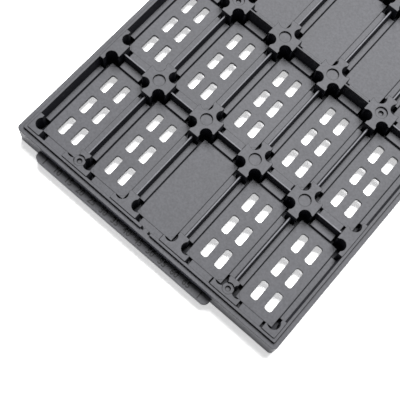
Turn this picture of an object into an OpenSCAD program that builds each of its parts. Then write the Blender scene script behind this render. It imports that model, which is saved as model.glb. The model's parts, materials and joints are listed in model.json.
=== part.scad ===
// Matrix tray for integrated circuits: 5 x 6 pockets in one moulding of heat-proof plastic.
// Origin: centre of the footprint, on the plane that the skirt stands on. +Z is up, the long side runs along Y.

/* [Tray outline] */
// Length of the body, without the end tabs
tray_l = 315; // [313:0.5:317]
// Width of the body
tray_w = 135.9; // [134.9:0.1:136.9]
// Height from the skirt's foot to the tops of the posts
tray_h = 12.19; // [11.8:0.01:13]
// Radius of the body's upright corners
corner_r = 1.8; // [1:0.1:2.6]
// Leg of the chamfer that marks the first pocket
chamfer_leg = 6; // [4:0.5:7]

/* [Rim and skirt] */
// Thickness of the skirt's foot, which stands on the ledge of the tray below
skirt_t = 1.8; // [1.4:0.1:2]
// Clear height below the underside ribs, taken up by the posts of the tray below
under_clear = 1.8; // [1.6:0.1:2.2]
// Drop from the post tops to the stacking ledge
ledge_drop = 1.5; // [1.2:0.1:1.8]
// Distance from the outer face to the rim's outer face
rim_out = 2.05; // [1.9:0.05:2.2]
// Distance from the outer face to the rim's inner face
rim_in = 3.25; // [3.05:0.05:3.4]
// Drop from the post tops to the rim
rim_drop = 0.4; // [0.2:0.1:0.8]
// Run of the sloped inner face, from the rim to its foot
wall_draft = 0.9; // [0.5:0.1:1.1]
// Width of the gap at the middle of each end rim
notch_w = 4.7; // [4:0.1:6]
// Width of the bridge left in that gap
bridge_w = 2.3; // [1.6:0.1:2.8]

/* [Pockets] */
// Pocket pitch across the tray
pitch_x = 26.03; // [25.9:0.01:26.1]
// Pocket pitch along the tray
pitch_y = 51.6; // [51.4:0.05:51.7]
// Drop from the post tops to the pocket floor
floor_drop = 7.1; // [6.6:0.1:7.4]
// Thickness of the pocket floor
floor_t = 1.3; // [1:0.1:1.6]
// Height of the shelf above the pocket floor
shelf_h = 1.2; // [0.8:0.1:1.5]
// Half width of the shelf strip across the tray
shelf_x = 3.45; // [3.2:0.05:3.6]
// Half width of the shelf strip along the tray
shelf_y = 4.4; // [4.1:0.05:4.6]
// Run of the shelf's sloped side
shelf_draft = 0.4; // [0.2:0.1:0.5]

/* [Ribs] */
// Thickness of the dividing ribs at the top
rib_t = 0.7; // [0.6:0.1:0.9]
// Drop from the post tops to the rib tops
rib_drop = 2.2; // [1.8:0.1:2.8]
// Sideways run of the rib's face for each millimetre of its height
rib_draft = 0.17; // [0.1:0.01:0.2]
// Thickness of the webs on the underside
web_t = 1.2; // [1:0.1:1.4]

/* [Posts] */
// Half length of the post's arm across the tray
arm_x = 6.65; // [6.4:0.05:6.8]
// Half width of that arm
arm_x_half = 3.35; // [3.2:0.05:3.5]
// Half length of the post's arm along the tray
arm_y = 8.45; // [8.2:0.05:8.6]
// Half width of that arm
arm_y_half = 2.4; // [2.2:0.05:2.6]
// Radius of the corner relief that each pocket cuts in the post
relief_r = 2.6; // [2.4:0.05:2.7]
// Relief centre across the tray, from the post's centre
relief_x = 4.15; // [4.1:0.05:4.3]
// Relief centre along the tray, from the post's centre
relief_y = 5.2; // [5.1:0.05:5.35]
// Diameter of the shallow dimple in the post's top
dimple_d = 5.3; // [5:0.1:5.5]
// Depth of that dimple
dimple_depth = 0.8; // [0.5:0.1:1]
// Gap between a post and the ends of the shelves
well_gap = 1.05; // [0.8:0.05:1.3]
// Leg of the cut across each corner of the pocket floor
floor_cut = 2; // [1.6:0.1:2.4]
// Thickness of the bottom and sides of the wells round the posts
well_t = 0.8; // [0.7:0.1:1]
// Diameter of the core hole up each post from below
core_d = 4; // [3:0.1:4.4]
// Diameter of the boss on the end posts
boss_d = 4.8; // [4.4:0.1:5]
// Distance from the row line to that boss
boss_y = 3.8; // [3.5:0.1:4]
// Diameter of the pin socket in the marked posts
socket_d = 2.2; // [1.8:0.1:2.4]
// Depth of the pin socket
socket_depth = 1; // [0.6:0.1:1.4]

/* [Slots] */
// Length of the vent slots
slot_l = 8.75; // [8:0.05:9.5]
// Width of the vent slots
slot_w = 3.3; // [2.8:0.1:3.8]
// Corner radius of the vent slots
slot_r = 1; // [0.5:0.1:1.3]
// Slot pitch across the pocket
slot_px = 7.2; // [6.8:0.1:7.6]
// Slot pitch along the pocket
slot_py = 12.7; // [12:0.1:13]

/* [End tabs] */
// Width of the end tabs
tab_w = 92.1; // [90:0.1:94]
// Reach of the end tabs beyond the body
tab_out = 3.8; // [3.3:0.1:4.2]
// Drop from the post tops to the tab's top
tab_drop = 6; // [5:0.1:7]
// Thickness of the end tabs
tab_t = 2.4; // [1.8:0.1:3]
// Corner radius of the end tabs
tab_r = 2.5; // [1.5:0.1:3]
// Distance from the tray's centre line to the tab's centre
tab_shift = -9.4; // [-10:0.1:-8]

/* [Hidden] */
$fn = 48;

// Pockets across and along the tray, and vent slots across and along a pocket
cols = 5;
rows = 6;
slot_cols = 2;
slot_rows = 3;
// The middle columns and rows whose pockets have no slots, for a vacuum cup to hold
plain_cols = 3;
plain_rows = 2;
// How far one solid is sunk into the next so that they join, and how far a cutter stands proud
lap = 0.5;
// How far in from the grid's end line the sloped wall stops, under the corner posts
wall_stop = 5;
// Height left over the core hole, below the post's top
core_roof = 3.5;

rim_z = tray_h - rim_drop;
ledge_z = tray_h - ledge_drop;
rib_z = tray_h - rib_drop;
floor_z = tray_h - floor_drop;
shelf_z = floor_z + shelf_h;
tab_z = tray_h - tab_drop;
grid_x = cols * pitch_x / 2;
grid_y = rows * pitch_y / 2;

// Places of the grid lines: i counts across the tray and j along it
function line_x(i) = i * pitch_x - grid_x;
function line_y(j) = j * pitch_y - grid_y;
// True in the middle part of a count
function in_middle(k, count, part) = abs(k - (count - 1) / 2) < part / 2;
// True where a pocket floor has no slots
function is_plain(i, j) =
    in_middle(i, cols, plain_cols) && in_middle(j, rows, plain_rows)
    || in_middle(i, cols, 1) && (j == 0 || j == rows - 1);
// True at the posts that carry a pin socket
function has_socket(i, j) = (i == 1 || i == cols - 1) && j % 2 == 0 && j != rows / 2;

module rounded_2d(w, l, r) {
    square([w - 2 * r, l], center = true);
    square([w, l - 2 * r], center = true);
    for (sx = [-1, 1], sy = [-1, 1])
        translate([sx * (w / 2 - r), sy * (l / 2 - r)]) circle(r);
}

// The body's outline, set in from the outer face, with the chamfered corner
module outline_2d(inset) {
    w = tray_w - 2 * inset;
    l = tray_l - 2 * inset;
    leg = chamfer_leg - (2 - sqrt(2)) * inset;
    difference() {
        rounded_2d(w, l, max(corner_r - inset, 0.6));
        translate([-w / 2, l / 2]) rotate(45) square(leg * sqrt(2), center = true);
    }
}

// One post: a cross with the four pocket corners cut away
module post_2d() {
    difference() {
        union() {
            square([2 * arm_x, 2 * arm_x_half], center = true);
            square([2 * arm_y_half, 2 * arm_y], center = true);
        }
        for (sx = [-1, 1], sy = [-1, 1])
            translate([sx * relief_x, sy * relief_y]) circle(relief_r);
    }
}

// The well round a post: the open space between it, the shelf ends and the pocket floors
module well_2d(grow) {
    half_x = shelf_x + shelf_draft + grow;
    half_y = shelf_y + shelf_draft + grow;
    square([2 * (arm_x + well_gap + grow), 2 * half_y], center = true);
    square([2 * half_x, 2 * (arm_y + well_gap + grow)], center = true);
    for (sx = [-1, 1], sy = [-1, 1])
        translate([sx * half_x, sy * half_y]) rotate(45) square(floor_cut * sqrt(2), center = true);
}

module at_nodes() {
    for (i = [0:cols], j = [0:rows])
        translate([line_x(i), line_y(j)]) children();
}

module at_inner_nodes(z) {
    for (i = [1:cols - 1], j = [1:rows - 1])
        translate([line_x(i), line_y(j), z]) children();
}

// A bar with sloped sides that runs along Y (or along X), standing on z = 0
module bar(length, top_half, draft, height) {
    rotate([90, 0, 0])
        linear_extrude(length, center = true)
            polygon([[-top_half - draft, 0], [top_half + draft, 0], [top_half, height], [-top_half, height]]);
}

// Half of such a bar, sloped on its +X side
module half_bar(length, top_half, draft, height) {
    rotate([90, 0, 0])
        linear_extrude(length, center = true)
            polygon([[0, 0], [top_half + draft, 0], [top_half, height], [0, height]]);
}

// Skirt, body wall, stacking ledge and rim
module frame() {
    difference() {
        union() {
            linear_extrude(ledge_z) outline_2d(0);
            linear_extrude(rim_z) outline_2d(rim_out);
        }
        translate([0, 0, under_clear]) linear_extrude(tray_h) outline_2d(rim_in);
        translate([0, 0, -lap]) linear_extrude(under_clear + lap) outline_2d(skirt_t);
    }
}

// Sloped inner faces of the four walls
module wall_slopes() {
    height = rim_z - floor_z;
    long_x = tray_w / 2 - rim_in + lap;
    long_y = tray_l / 2 - rim_in + lap;
    for (turn = [0, 180]) rotate(turn) {
        translate([-long_x, 0, floor_z]) half_bar(2 * (grid_y - wall_stop), lap, wall_draft, height);
        translate([0, -long_y, floor_z])
            rotate(90) half_bar(2 * (grid_x - wall_stop), lap, wall_draft, height);
    }
}

// Floor of all the pockets, with the vent slots
module floor_plate() {
    translate([0, 0, floor_z - floor_t]) linear_extrude(floor_t) difference() {
        outline_2d(rim_in - lap);
        for (i = [0:cols - 1], j = [0:rows - 1])
            if (!is_plain(i, j))
                translate([line_x(i + 0.5), line_y(j + 0.5)]) slots_2d();
    }
}

module slots_2d() {
    for (a = [0:slot_cols - 1], b = [0:slot_rows - 1])
        translate([(a - (slot_cols - 1) / 2) * slot_px, (b - (slot_rows - 1) / 2) * slot_py])
            rounded_2d(slot_w, slot_l, slot_r);
}

// Shelf strips round each pocket floor
module shelves() {
    z = floor_z - lap / 2;
    h = shelf_h + lap / 2;
    translate([0, 0, z]) {
        for (i = [1:cols - 1])
            translate([line_x(i), 0]) bar(2 * grid_y, shelf_x, shelf_draft, h);
        for (j = [1:rows - 1])
            translate([0, line_y(j)]) rotate(90) bar(2 * grid_x, shelf_y, shelf_draft, h);
        for (turn = [0, 180]) rotate(turn) {
            translate([-grid_x, 0]) half_bar(2 * grid_y - 2 * wall_stop, shelf_x, shelf_draft, h);
            translate([0, -grid_y]) rotate(-90) mirror([1, 0, 0])
                half_bar(2 * grid_x - 2 * wall_stop, shelf_y, shelf_draft, h);
        }
    }
}

// Ribs between the pockets, and the taller walls before the plain middle cells
module ribs() {
    z = shelf_z - lap / 2;
    low = rib_z - z;
    tall = tray_h - z;
    translate([0, 0, z]) {
        for (i = [1:cols - 1])
            translate([line_x(i), 0]) bar(2 * grid_y, rib_t / 2, rib_draft * low, low);
        for (j = [1:rows - 1])
            translate([0, line_y(j)]) rotate(90) bar(2 * grid_x, rib_t / 2, rib_draft * low, low);
        for (side = [-1, 1])
            translate([0, side * plain_rows / 2 * pitch_y])
                rotate(90) bar(plain_cols * pitch_x, rib_t / 2, rib_draft * tall, tall);
    }
}

module posts() {
    translate([0, 0, under_clear]) linear_extrude(tray_h - under_clear) intersection() {
        outline_2d(rim_in);
        at_nodes() post_2d();
    }
    for (i = [1, cols - 1], side = [-1, 1])
        translate([line_x(i), side * (grid_y - boss_y), under_clear])
            cylinder(d = boss_d, h = tray_h - dimple_depth - under_clear);
}

// Webs and well cups on the underside
module underside() {
    translate([0, 0, under_clear]) {
        linear_extrude(shelf_z - lap / 2 - under_clear) webs_2d();
        linear_extrude(floor_z - lap / 2 - under_clear) intersection() {
            outline_2d(rim_in - lap);
            at_nodes() well_2d(well_t);
        }
    }
}

module webs_2d() {
    for (i = [1:cols - 1]) translate([line_x(i), 0]) square([web_t, 2 * grid_y], center = true);
    for (j = [1:rows - 1]) translate([0, line_y(j)]) square([2 * grid_x, web_t], center = true);
}

module end_tabs() {
    reach = tab_out + rim_out;
    for (side = [-1, 1])
        translate([tab_shift, side * (tray_l / 2 + tab_out - reach / 2 - tab_r), tab_z - tab_t])
            linear_extrude(tab_t) intersection() {
                rounded_2d(tab_w, reach + 2 * tab_r, tab_r);
                translate([0, side * tab_r]) square([tab_w, reach], center = true);
            }
}

// Space taken out round the posts
module wells() {
    bottom = under_clear + well_t;
    translate([0, 0, bottom]) linear_extrude(shelf_z + lap / 2 - bottom) difference() {
        intersection() {
            outline_2d(rim_in + wall_draft);
            at_nodes() well_2d(0);
        }
        at_nodes() post_2d();
        webs_2d();
    }
}

// Dimples, sockets and core holes of the posts
module post_holes() {
    at_inner_nodes(tray_h - dimple_depth) cylinder(d = dimple_d, h = dimple_depth + lap);
    at_inner_nodes(under_clear - lap) cylinder(d = core_d, h = tray_h - core_roof - under_clear + lap);
    for (i = [0:cols], j = [0:rows])
        if (has_socket(i, j) && j > 0 && j < rows)
            translate([line_x(i), line_y(j), 0]) socket();
    for (i = [1, cols - 1], side = [-1, 1])
        translate([line_x(i), side * (grid_y - boss_y), 0]) {
            translate([0, 0, tray_h - dimple_depth]) cylinder(d = boss_d, h = dimple_depth + lap);
            socket();
        }
}

module socket() {
    translate([0, 0, tray_h - dimple_depth - socket_depth]) cylinder(d = socket_d, h = socket_depth + lap);
}

// Gap in the middle of each end rim, with its bridge
module rim_notches() {
    depth = rim_in + wall_draft - rim_out + lap;
    for (side = [-1, 1])
        translate([0, side * (tray_l / 2 - rim_out - depth / 2), 0]) {
            translate([-notch_w / 2, -depth / 2, ledge_z]) cube([notch_w, depth, ledge_drop + lap]);
            for (x = [-notch_w / 2, bridge_w / 2])
                translate([x, -depth / 2, shelf_z]) cube([(notch_w - bridge_w) / 2, depth, tray_h]);
        }
}

module matrix_tray() {
    color([0.21, 0.21, 0.23])
        difference() {
            union() {
                frame();
                wall_slopes();
                floor_plate();
                shelves();
                ribs();
                posts();
                underside();
                end_tabs();
            }
            wells();
            post_holes();
            rim_notches();
        }
}

matrix_tray();
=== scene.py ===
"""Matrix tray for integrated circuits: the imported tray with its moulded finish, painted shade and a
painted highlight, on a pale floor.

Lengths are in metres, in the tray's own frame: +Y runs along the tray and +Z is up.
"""

import json
import math

import bmesh
import bpy
from mathutils import Matrix, Quaternion, Vector


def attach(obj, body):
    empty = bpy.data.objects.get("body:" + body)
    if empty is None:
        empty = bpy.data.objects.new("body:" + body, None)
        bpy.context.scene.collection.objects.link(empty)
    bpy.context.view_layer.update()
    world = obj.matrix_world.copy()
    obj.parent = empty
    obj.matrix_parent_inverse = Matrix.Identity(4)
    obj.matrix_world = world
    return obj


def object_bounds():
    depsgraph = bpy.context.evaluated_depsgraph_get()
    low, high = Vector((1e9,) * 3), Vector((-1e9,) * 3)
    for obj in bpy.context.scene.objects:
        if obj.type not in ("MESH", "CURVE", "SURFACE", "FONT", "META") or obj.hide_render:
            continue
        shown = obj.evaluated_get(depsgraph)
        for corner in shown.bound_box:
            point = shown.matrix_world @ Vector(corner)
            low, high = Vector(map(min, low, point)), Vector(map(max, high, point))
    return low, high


MM = 0.001

# The camera looks down over the tray's near end
CAMERA_AZIMUTH = 29.70
CAMERA_ELEVATION = 71.90
CAMERA_ROLL = 11.71
CAMERA_DISTANCE = 328.8 * MM
CAMERA_LENS = 74.57
# The point that it looks at, from the middle of the tray's top: across, and in from the near end tab
TARGET_ACROSS = 7.72 * MM
TARGET_FROM_END = 29.95 * MM

FLOOR_SIZE = 6.0
# Colour of the floor as a source of bounced light
FLOOR_COLOUR = (0.8, 0.8, 0.8, 1)
# The camera and reflections see the floor brighter, so that it is white with a pale shadow:
# a gain on the light that falls on it, and the least that it shows in full shadow
FLOOR_GAIN = 2.5
FLOOR_LEAST = 0.50

# The looks of the plastic are matched to the photograph, not to a measured material
SPECULAR = 0.3
# Flat faces are grained and grey; upright faces and the bottoms of the wells are painted near black, as
# painted shade
GREY_LOW = (0.108, 0.109, 0.121, 1)
GREY_HIGH = (0.127, 0.128, 0.142, 1)
PAINTED_SHADE_LOW = (0.013, 0.014, 0.021, 1)
PAINTED_SHADE_HIGH = (0.019, 0.020, 0.029, 1)
# Upward part of the normal at which a face starts to count as flat, and at which it wholly does; upright
# faces take the painted shade
UPRIGHT_TO_FLAT = (0.15, 0.75)
# A level between the bottoms of the wells and the pocket floors; below it the well bottoms take the
# painted shade
WELL_LEVEL = 4.5 * MM
# Parts of the noise that the colour ramps run between
RAMP_LOW, RAMP_HIGH = 0.3, 0.7
# Range of the noise that the speckle and the patches use, and the gains at its ends
NOISE_RANGE = (0.25, 0.75)
SPECKLE_GAIN = (0.86, 1.22)
PATCH_GAIN = (0.93, 1.10)
# Noise scales, per metre
CLOUD_SCALE = 60
GRAIN_SCALE = 2600
SPECKLE_SCALE = 1100
PATCH_SCALE = 22
MARK_SCALE = 900
PLASTIC_ROUGHNESS = (0.44, 0.56)
MARK_ROUGHNESS = (0.38, 0.5)
# Reach and strength of the painted shade in inner corners
CORNER_SHADE_REACH = 0.8 * MM
CORNER_SHADE_OPENNESS = (0.40, 0.85)
CORNER_SHADE_GAIN = (0.20, 1.0)
# Reach and strength of the painted shade line along an edge, by how far the rounded normal turns
EDGE_SHADE_WIDTH = 0.42 * MM
EDGE_SHADE_TURN = (0.80, 0.995)
EDGE_SHADE_GAIN = (0.15, 1.0)
# The rib tops are painted paler, as a painted highlight, to match the photograph
RIB_LEVEL = 9.99 * MM
RIB_LEVEL_SLACK = 0.05 * MM
RIB_HIGHLIGHT_GAIN = (1.0, 1.9)
# Rounding of the edges and the height of the grain
EDGE_RADIUS = 0.25 * MM
GRAIN_STRENGTH = 0.25
GRAIN_HEIGHT = 0.05 * MM

# The square tips of the pocket floors, which the CAD cuts off by 2 mm: each overlaps the floor a little
TIP_LEG = 2.35 * MM
TIP_THICKNESS = 1.3 * MM
TIP_PROUD = 0.02 * MM

# Plain numbers along both end tabs, in place of the lettering on the near one
TAB_TOP = 6.19 * MM
TAB_CENTRE = -9.4 * MM
TAB_REACH = 3.8 * MM
NUMBER_COUNT = 12
NUMBER_FIRST = 10
NUMBER_STEP = 5
NUMBER_PITCH = 6.3 * MM
NUMBER_SIZE = 3.7 * MM
NUMBER_BOLD = 0.05 * MM
NUMBER_PROUD = 0.2 * MM
# The row's place and the end marks' length, as shares of how far the tab stands out
ROW_SHARE = 0.47
END_MARK_SHARE = 0.8
END_MARK_X = 41.4 * MM
END_MARK_WIDTH = 0.45 * MM
# Painted shade: the raised marks are painted near black
MARK_SHADE_LOW = (0.004, 0.004, 0.006, 1)
MARK_SHADE_HIGH = (0.009, 0.009, 0.012, 1)

# Softboxes: azimuth and elevation as seen from the tray, distance, size, radiance
SOFTBOXES = {
    "key_softbox": dict(azimuth=-160, elevation=66, distance=1.5, width=0.86, height=0.86, radiance=13.0),
}
WORLD_RADIANCE = 0.10


def direction(azimuth, elevation):
    """Unit vector from the tray; azimuth 0 is -Y and 90 is +X."""
    a, e = math.radians(azimuth), math.radians(elevation)
    return Vector((math.sin(a) * math.cos(e), -math.cos(a) * math.cos(e), math.sin(e)))


def make_camera(tray_low, tray_high):
    target = Vector((TARGET_ACROSS, tray_low.y + TARGET_FROM_END, tray_high.z))
    back = direction(CAMERA_AZIMUTH, CAMERA_ELEVATION)
    data = bpy.data.cameras.new("camera")
    data.lens = CAMERA_LENS
    data.clip_start, data.clip_end = 0.01, 20.0
    camera = bpy.data.objects.new("camera", data)
    camera.rotation_mode = "QUATERNION"
    camera.location = target + back * CAMERA_DISTANCE
    roll = Quaternion((0, 0, 1), math.radians(CAMERA_ROLL))
    camera.rotation_quaternion = (-back).to_track_quat("-Z", "Y") @ roll
    bpy.context.scene.collection.objects.link(camera)
    bpy.context.scene.camera = camera


def make_softbox(name, azimuth, elevation, distance, width, height, radiance):
    data = bpy.data.lights.new(name, "AREA")
    data.shape = "RECTANGLE"
    data.size, data.size_y = width, height
    data.energy = radiance * math.pi * width * height
    lamp = bpy.data.objects.new(name, data)
    away = direction(azimuth, elevation)
    lamp.location = away * distance
    lamp.rotation_mode = "QUATERNION"
    lamp.rotation_quaternion = (-away).to_track_quat("-Z", "Y")
    bpy.context.scene.collection.objects.link(lamp)


def new_material(name):
    material = bpy.data.materials.new(name)
    material.use_nodes = True
    tree = material.node_tree
    tree.nodes.clear()
    output = tree.nodes.new("ShaderNodeOutputMaterial")
    return material, tree, output


def make_world():
    world = bpy.data.worlds.new("studio")
    world.use_nodes = True
    tree = world.node_tree
    tree.nodes.clear()
    output = tree.nodes.new("ShaderNodeOutputWorld")
    lit = tree.nodes.new("ShaderNodeBackground")
    lit.inputs["Color"].default_value = (1, 1, 1, 1)
    lit.inputs["Strength"].default_value = WORLD_RADIANCE
    seen = tree.nodes.new("ShaderNodeBackground")
    seen.inputs["Color"].default_value = (1, 1, 1, 1)
    seen.inputs["Strength"].default_value = 1.0
    mix = tree.nodes.new("ShaderNodeMixShader")
    path = tree.nodes.new("ShaderNodeLightPath")
    tree.links.new(path.outputs["Is Camera Ray"], mix.inputs["Fac"])
    tree.links.new(lit.outputs[0], mix.inputs[1])
    tree.links.new(seen.outputs[0], mix.inputs[2])
    tree.links.new(mix.outputs[0], output.inputs["Surface"])
    bpy.context.scene.world = world


def make_floor():
    half = FLOOR_SIZE / 2
    mesh = bpy.data.meshes.new("floor")
    corners = [(-half, -half, 0), (half, -half, 0), (half, half, 0), (-half, half, 0)]
    mesh.from_pydata(corners, [], [(0, 1, 2, 3)])
    floor = bpy.data.objects.new("floor", mesh)
    bpy.context.scene.collection.objects.link(floor)
    material, tree, output = new_material("pale_floor")
    plain = tree.nodes.new("ShaderNodeBsdfDiffuse")
    plain.inputs["Color"].default_value = FLOOR_COLOUR
    bright = tree.nodes.new("ShaderNodeBsdfDiffuse")
    bright.inputs["Color"].default_value = (FLOOR_GAIN, FLOOR_GAIN, FLOOR_GAIN, 1)
    least = tree.nodes.new("ShaderNodeEmission")
    least.inputs["Color"].default_value = (1, 1, 1, 1)
    least.inputs["Strength"].default_value = FLOOR_LEAST
    seen = tree.nodes.new("ShaderNodeAddShader")
    mix = tree.nodes.new("ShaderNodeMixShader")
    path = tree.nodes.new("ShaderNodeLightPath")
    direct = tree.nodes.new("ShaderNodeMath")
    direct.operation = "MAXIMUM"
    tree.links.new(path.outputs["Is Camera Ray"], direct.inputs[0])
    tree.links.new(path.outputs["Is Glossy Ray"], direct.inputs[1])
    tree.links.new(direct.outputs[0], mix.inputs["Fac"])
    tree.links.new(bright.outputs[0], seen.inputs[0])
    tree.links.new(least.outputs[0], seen.inputs[1])
    tree.links.new(plain.outputs[0], mix.inputs[1])
    tree.links.new(seen.outputs[0], mix.inputs[2])
    tree.links.new(mix.outputs[0], output.inputs["Surface"])
    floor.data.materials.append(material)
    return floor


def noise(tree, place, scale, detail):
    node = tree.nodes.new("ShaderNodeTexNoise")
    node.inputs["Scale"].default_value = scale
    node.inputs["Detail"].default_value = detail
    tree.links.new(place.outputs["Object"], node.inputs["Vector"])
    return node


def calculate(tree, operation, first, second=0.0, third=0.0):
    """A sum on a socket and a second value, which is a socket or a plain number."""
    node = tree.nodes.new("ShaderNodeMath")
    node.operation = operation
    tree.links.new(first, node.inputs[0])
    if isinstance(second, bpy.types.NodeSocket):
        tree.links.new(second, node.inputs[1])
    else:
        node.inputs[1].default_value = second
    node.inputs[2].default_value = third
    return node.outputs[0]


def map_range(tree, value, from_range, to_range, interpolation="LINEAR"):
    """The value carried from one range into another, and held inside it."""
    node = tree.nodes.new("ShaderNodeMapRange")
    node.interpolation_type = interpolation
    node.inputs["From Min"].default_value, node.inputs["From Max"].default_value = from_range
    node.inputs["To Min"].default_value, node.inputs["To Max"].default_value = to_range
    tree.links.new(value, node.inputs["Value"])
    return node.outputs["Result"]


def upward(tree, vector):
    """The Z part of a vector."""
    node = tree.nodes.new("ShaderNodeSeparateXYZ")
    tree.links.new(vector, node.inputs[0])
    return node.outputs["Z"]


def ramp(tree, value, low_colour, high_colour):
    node = tree.nodes.new("ShaderNodeValToRGB")
    first, last = node.color_ramp.elements
    first.position, first.color = RAMP_LOW, low_colour
    last.position, last.color = RAMP_HIGH, high_colour
    tree.links.new(value, node.inputs["Fac"])
    return node.outputs["Color"]


def share_without_painted_shade(tree, place, geometry):
    """1 on flat faces, and 0 on upright ones and on the bottoms of the wells, which are painted near black
    as painted shade.
    """
    up = upward(tree, geometry.outputs["True Normal"])
    flat = map_range(tree, calculate(tree, "ABSOLUTE", up), UPRIGHT_TO_FLAT, (0, 1), "SMOOTHSTEP")
    above_wells = calculate(tree, "GREATER_THAN", upward(tree, place.outputs["Object"]), WELL_LEVEL)
    faces_down = calculate(tree, "LESS_THAN", up)
    return calculate(tree, "MULTIPLY", flat, calculate(tree, "MAXIMUM", above_wells, faces_down))


def grain_gain(tree, place):
    """Fine speckle, and slow patches across the moulding."""
    speckle = noise(tree, place, scale=SPECKLE_SCALE, detail=2)
    patches = noise(tree, place, scale=PATCH_SCALE, detail=2)
    fine = map_range(tree, speckle.outputs["Fac"], NOISE_RANGE, SPECKLE_GAIN)
    slow = map_range(tree, patches.outputs["Fac"], NOISE_RANGE, PATCH_GAIN)
    return calculate(tree, "MULTIPLY", fine, slow)


def edge_shade_gain(tree, geometry):
    """Painted shade: a thin darker line along every edge."""
    edge = tree.nodes.new("ShaderNodeBevel")
    edge.samples = 6
    edge.inputs["Radius"].default_value = EDGE_SHADE_WIDTH
    turned = tree.nodes.new("ShaderNodeVectorMath")
    turned.operation = "DOT_PRODUCT"
    tree.links.new(edge.outputs["Normal"], turned.inputs[0])
    tree.links.new(geometry.outputs["True Normal"], turned.inputs[1])
    return map_range(tree, turned.outputs["Value"], EDGE_SHADE_TURN, EDGE_SHADE_GAIN)


def rib_highlight_gain(tree, place):
    """Painted highlight: paler where a face lies at the level of the rib tops."""
    height = upward(tree, place.outputs["Object"])
    on_rib = calculate(tree, "COMPARE", height, RIB_LEVEL, RIB_LEVEL_SLACK)
    return map_range(tree, on_rib, (0, 1), RIB_HIGHLIGHT_GAIN)


def corner_shade_gain(tree):
    """Painted shade: darker along inner corners."""
    corner = tree.nodes.new("ShaderNodeAmbientOcclusion")
    corner.samples = 8
    corner.only_local = True
    corner.inputs["Distance"].default_value = CORNER_SHADE_REACH
    return map_range(tree, corner.outputs["AO"], CORNER_SHADE_OPENNESS, CORNER_SHADE_GAIN)


def grained_normal(tree, place):
    """Rounded edges under a fine grain."""
    grain = noise(tree, place, scale=GRAIN_SCALE, detail=3)
    bevel = tree.nodes.new("ShaderNodeBevel")
    bevel.samples = 4
    bevel.inputs["Radius"].default_value = EDGE_RADIUS
    bump = tree.nodes.new("ShaderNodeBump")
    bump.inputs["Strength"].default_value = GRAIN_STRENGTH
    bump.inputs["Distance"].default_value = GRAIN_HEIGHT
    tree.links.new(grain.outputs["Fac"], bump.inputs["Height"])
    tree.links.new(bevel.outputs["Normal"], bump.inputs["Normal"])
    return bump.outputs["Normal"]


def make_plastic():
    """Matte dark plastic, grey and grained where it lies flat, and painted near black on the upright faces
    as painted shade.
    """
    material, tree, output = new_material("carbon_filled_plastic")
    shader = tree.nodes.new("ShaderNodeBsdfPrincipled")
    shader.inputs["Specular IOR Level"].default_value = SPECULAR
    place = tree.nodes.new("ShaderNodeTexCoord")
    geometry = tree.nodes.new("ShaderNodeNewGeometry")
    cloud = noise(tree, place, scale=CLOUD_SCALE, detail=4).outputs["Fac"]

    # Painted shade: near black on the upright faces and the bottoms of the wells, grey on the flat faces
    colour = tree.nodes.new("ShaderNodeMix")
    colour.data_type = "RGBA"
    tree.links.new(share_without_painted_shade(tree, place, geometry), colour.inputs["Factor"])
    tree.links.new(ramp(tree, cloud, PAINTED_SHADE_LOW, PAINTED_SHADE_HIGH), colour.inputs["A"])
    tree.links.new(ramp(tree, cloud, GREY_LOW, GREY_HIGH), colour.inputs["B"])

    # The gain is the grain, with painted shade along the edges and in the inner corners and a painted
    # highlight on the rib tops
    gain = calculate(tree, "MULTIPLY", grain_gain(tree, place), edge_shade_gain(tree, geometry))
    gain = calculate(tree, "MULTIPLY", gain, rib_highlight_gain(tree, place))
    gain = calculate(tree, "MULTIPLY", gain, corner_shade_gain(tree))
    shaded = tree.nodes.new("ShaderNodeVectorMath")
    shaded.operation = "SCALE"
    tree.links.new(colour.outputs["Result"], shaded.inputs["Vector"])
    tree.links.new(gain, shaded.inputs["Scale"])

    tree.links.new(shaded.outputs["Vector"], shader.inputs["Base Color"])
    tree.links.new(map_range(tree, cloud, (0, 1), PLASTIC_ROUGHNESS), shader.inputs["Roughness"])
    tree.links.new(grained_normal(tree, place), shader.inputs["Normal"])
    tree.links.new(shader.outputs[0], output.inputs["Surface"])
    return material


def make_floor_tips(openings):
    """The square tip of each corner of each pocket floor."""
    points, faces = [], []
    for low, high in (opening["box_m"] for opening in openings):
        for x, inward_x in ((low[0], TIP_LEG), (high[0], -TIP_LEG)):
            for y, inward_y in ((low[1], TIP_LEG), (high[1], -TIP_LEG)):
                first = len(points)
                outline = [(x, y), (x + inward_x, y), (x, y + inward_y)]
                if inward_x * inward_y < 0:
                    outline.reverse()
                points += [(px, py, low[2] - TIP_THICKNESS) for px, py in outline]
                points += [(px, py, low[2] + TIP_PROUD) for px, py in outline]
                faces += [(first + 2, first + 1, first), (first + 3, first + 4, first + 5)]
                for side in range(3):
                    after = (side + 1) % 3
                    faces.append((first + side, first + after, first + after + 3, first + side + 3))
    mesh = bpy.data.meshes.new("floor_tips")
    mesh.from_pydata(points, [], faces)
    tips = bpy.data.objects.new("floor_tips", mesh)
    bpy.context.scene.collection.objects.link(tips)
    return tips


def number_mesh(text):
    """Flat raised digits, centred on the origin."""
    curve = bpy.data.curves.new("digits", "FONT")
    curve.body = text
    curve.size = NUMBER_SIZE
    curve.align_x, curve.align_y = "CENTER", "CENTER"
    curve.resolution_u = 4
    curve.extrude = NUMBER_PROUD / 2
    curve.offset = NUMBER_BOLD
    digits = bpy.data.objects.new("digits", curve)
    bpy.context.scene.collection.objects.link(digits)
    bpy.context.view_layer.update()
    mesh = bpy.data.meshes.new_from_object(digits)
    bpy.data.objects.remove(digits)
    return mesh


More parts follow.
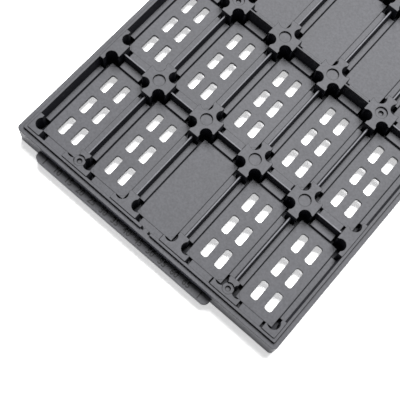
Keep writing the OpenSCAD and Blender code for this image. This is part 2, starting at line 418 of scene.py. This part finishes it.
def make_tab_numbers(body_end_y):
    """Plain numbers and an end mark on each side, along both end tabs."""
    marks = bmesh.new()
    row_y = -body_end_y - TAB_REACH * ROW_SHARE
    for turn in (0, math.pi):
        spin = Matrix.Rotation(turn, 4, "Z")
        centre = TAB_CENTRE if turn == 0 else -TAB_CENTRE
        for k in range(NUMBER_COUNT):
            along = (k - (NUMBER_COUNT - 1) / 2) * NUMBER_PITCH
            digits = number_mesh(str(NUMBER_FIRST + NUMBER_STEP * k))
            digits.transform(spin @ Matrix.Translation((centre + along, row_y, TAB_TOP)))
            marks.from_mesh(digits)
            bpy.data.meshes.remove(digits)
        for side in (-1, 1):
            size = Matrix.Diagonal((END_MARK_WIDTH, TAB_REACH * END_MARK_SHARE, NUMBER_PROUD, 1))
            place = Matrix.Translation((centre + side * END_MARK_X, row_y, TAB_TOP))
            bmesh.ops.create_cube(marks, size=1, matrix=spin @ place @ size)
    mesh = bpy.data.meshes.new("tab_numbers")
    marks.to_mesh(mesh)
    marks.free()
    numbers = bpy.data.objects.new("tab_numbers", mesh)
    bpy.context.scene.collection.objects.link(numbers)
    return numbers


def make_shaded_number_plastic():
    """Near-black plastic for the raised marks, as painted shade, to match how dark the lettering shows in
    the photograph.
    """
    material, tree, output = new_material("shaded_mark_plastic")
    shader = tree.nodes.new("ShaderNodeBsdfPrincipled")
    shader.inputs["Specular IOR Level"].default_value = SPECULAR
    place = tree.nodes.new("ShaderNodeTexCoord")
    cloud = noise(tree, place, scale=MARK_SCALE, detail=2).outputs["Fac"]
    tree.links.new(ramp(tree, cloud, MARK_SHADE_LOW, MARK_SHADE_HIGH), shader.inputs["Base Color"])
    tree.links.new(map_range(tree, cloud, (0, 1), MARK_ROUGHNESS), shader.inputs["Roughness"])
    tree.links.new(shader.outputs[0], output.inputs["Surface"])
    return material


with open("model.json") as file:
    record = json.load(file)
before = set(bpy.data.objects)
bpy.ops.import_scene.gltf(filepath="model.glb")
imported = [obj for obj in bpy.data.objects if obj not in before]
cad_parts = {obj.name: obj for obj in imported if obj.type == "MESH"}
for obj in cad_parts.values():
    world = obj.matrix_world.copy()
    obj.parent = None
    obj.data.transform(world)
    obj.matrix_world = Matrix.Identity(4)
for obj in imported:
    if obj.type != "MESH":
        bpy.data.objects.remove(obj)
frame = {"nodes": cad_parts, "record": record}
cad_low, cad_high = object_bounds()
tray = frame["nodes"]["matrix_tray"]

make_camera(cad_low, cad_high)
make_world()
for name, box in SOFTBOXES.items():
    make_softbox(name, **box)
make_floor()

tray.data.materials.clear()
plastic = make_plastic()
tray.data.materials.append(plastic)

tips = make_floor_tips(frame["record"]["physics"]["openings"])
tips.data.materials.append(plastic)
numbers = make_tab_numbers(cad_high.y - TAB_REACH)
numbers.data.materials.append(make_shaded_number_plastic())
for piece in (tips, numbers):
    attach(piece, "root")

bpy.context.scene.view_settings.view_transform = "Standard"
